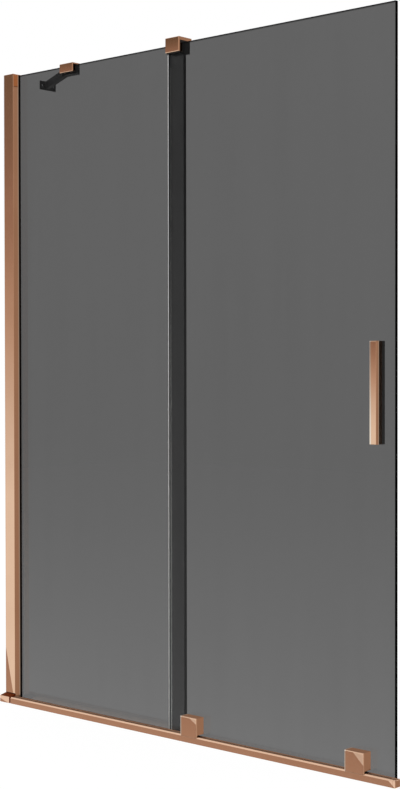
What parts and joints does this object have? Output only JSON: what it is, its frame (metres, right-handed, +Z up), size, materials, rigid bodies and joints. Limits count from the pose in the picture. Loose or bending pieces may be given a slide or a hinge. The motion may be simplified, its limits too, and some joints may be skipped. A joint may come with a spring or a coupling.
{
  "type": "sliding bath screen",
  "caption": "Bath screen with a fixed smoked-glass pane in a wall upright and a glass door that rolls along a bottom rail, in rose-gold fittings with a wall brace.",
  "frame": {"origin": "on the wall plane and the bath rim, on the rail's middle line", "axes": "+X along the screen away from the wall, +Y from the room into the bath, +Z up"},
  "size_m": [1.195, 0.1782, 1.5115],
  "materials": {
    "rose_gold_aluminium": "polished rose-gold coat",
    "rose_gold_metal": "polished rose-gold plate",
    "smoked_glass": "grey tinted, polished",
    "black_rubber": "soft, dull",
    "black_plastic": "moulded, dull",
    "black_metal": "black paint, satin",
    "clear_seal": "clear extruded strip",
    "plain_aluminium": "plain extruded",
    "steel": "plain stainless",
    "carriage_metal": "dark cast metal",
    "roller_plastic": "hard nylon"
  },
  "bodies": {
    "fixed_frame": {"wall_channel": "plain_aluminium", "wall_profile": "rose_gold_aluminium", "profile_top_cap": "rose_gold_metal", "profile_foot": "black_plastic", "profile_screws": "steel", "front_glass_gasket": "black_rubber", "back_glass_gasket": "black_rubber", "fixed_glass": "smoked_glass", "fixed_glass_shoe": "plain_aluminium", "bottom_rail": "rose_gold_aluminium", "rail_wall_block": "rose_gold_metal", "rail_end_cap": "rose_gold_metal", "track_stop": "black_plastic", "guide_cap": "rose_gold_metal", "guide_liner": "black_plastic", "guide_screws": "steel", "guide_grub_screws": "black_metal", "brace_clip_cap": "rose_gold_metal", "brace_clip_liner": "black_rubber", "brace_clip_socket": "black_metal", "brace_clip_screws": "black_metal", "brace_arm": "black_metal", "brace_wall_flange": "black_metal", "brace_grub_screw": "black_metal", "brace_flange_screw": "black_metal"},
    "sliding_door": {"sliding_glass": "smoked_glass", "door_edge_seal": "clear_seal", "door_bottom_seal": "black_rubber", "handle_outer_bar": "rose_gold_metal", "handle_inner_bar": "black_metal", "handle_outer_gasket": "black_rubber", "handle_inner_gasket": "black_rubber", "handle_bolts": "steel", "left_carriage_cover": "rose_gold_metal", "left_carriage_body": "carriage_metal", "left_carriage_gasket": "black_rubber", "left_clamp_plate": "steel", "left_clamp_gasket": "black_rubber", "left_clamp_screws": "steel", "left_roller_axles": "steel", "right_carriage_cover": "rose_gold_metal", "right_carriage_body": "carriage_metal", "right_carriage_gasket": "black_rubber", "right_clamp_plate": "steel", "right_clamp_gasket": "black_rubber", "right_clamp_screws": "steel", "right_roller_axles": "steel"},
    "left_rear_roller": {"left_rear_roller_tyre": "roller_plastic", "left_rear_roller_bearing": "steel"},
    "left_lead_roller": {"left_lead_roller_tyre": "roller_plastic", "left_lead_roller_bearing": "steel"},
    "right_rear_roller": {"right_rear_roller_tyre": "roller_plastic", "right_rear_roller_bearing": "steel"},
    "right_lead_roller": {"right_lead_roller_tyre": "roller_plastic", "right_lead_roller_bearing": "steel"}
  },
  "joints": [
    {"name": "door_slide", "type": "slide", "parent": "fixed_frame", "child": "sliding_door", "axis": [1, 0, 0], "range_m": [-0.519, 0]},
    {"name": "left_rear_roller_spin", "type": "hinge", "parent": "sliding_door", "child": "left_rear_roller", "pos_m": [0.6275, 0, 0.0225], "axis": [0, 1, 0], "continuous": true},
    {"name": "left_lead_roller_spin", "type": "hinge", "parent": "sliding_door", "child": "left_lead_roller", "pos_m": [0.6505, 0, 0.0225], "axis": [0, 1, 0], "continuous": true},
    {"name": "right_rear_roller_spin", "type": "hinge", "parent": "sliding_door", "child": "right_rear_roller", "pos_m": [1.0821, 0, 0.0225], "axis": [0, 1, 0], "continuous": true},
    {"name": "right_lead_roller_spin", "type": "hinge", "parent": "sliding_door", "child": "right_lead_roller", "pos_m": [1.1051, 0, 0.0225], "axis": [0, 1, 0], "continuous": true}
  ],
  "couplings": [
    {"joint": "left_rear_roller_spin", "follows": "door_slide", "rad_per_m": 111.11},
    {"joint": "left_lead_roller_spin", "follows": "door_slide", "rad_per_m": 111.11},
    {"joint": "right_rear_roller_spin", "follows": "door_slide", "rad_per_m": 111.11},
    {"joint": "right_lead_roller_spin", "follows": "door_slide", "rad_per_m": 111.11}
  ]
}
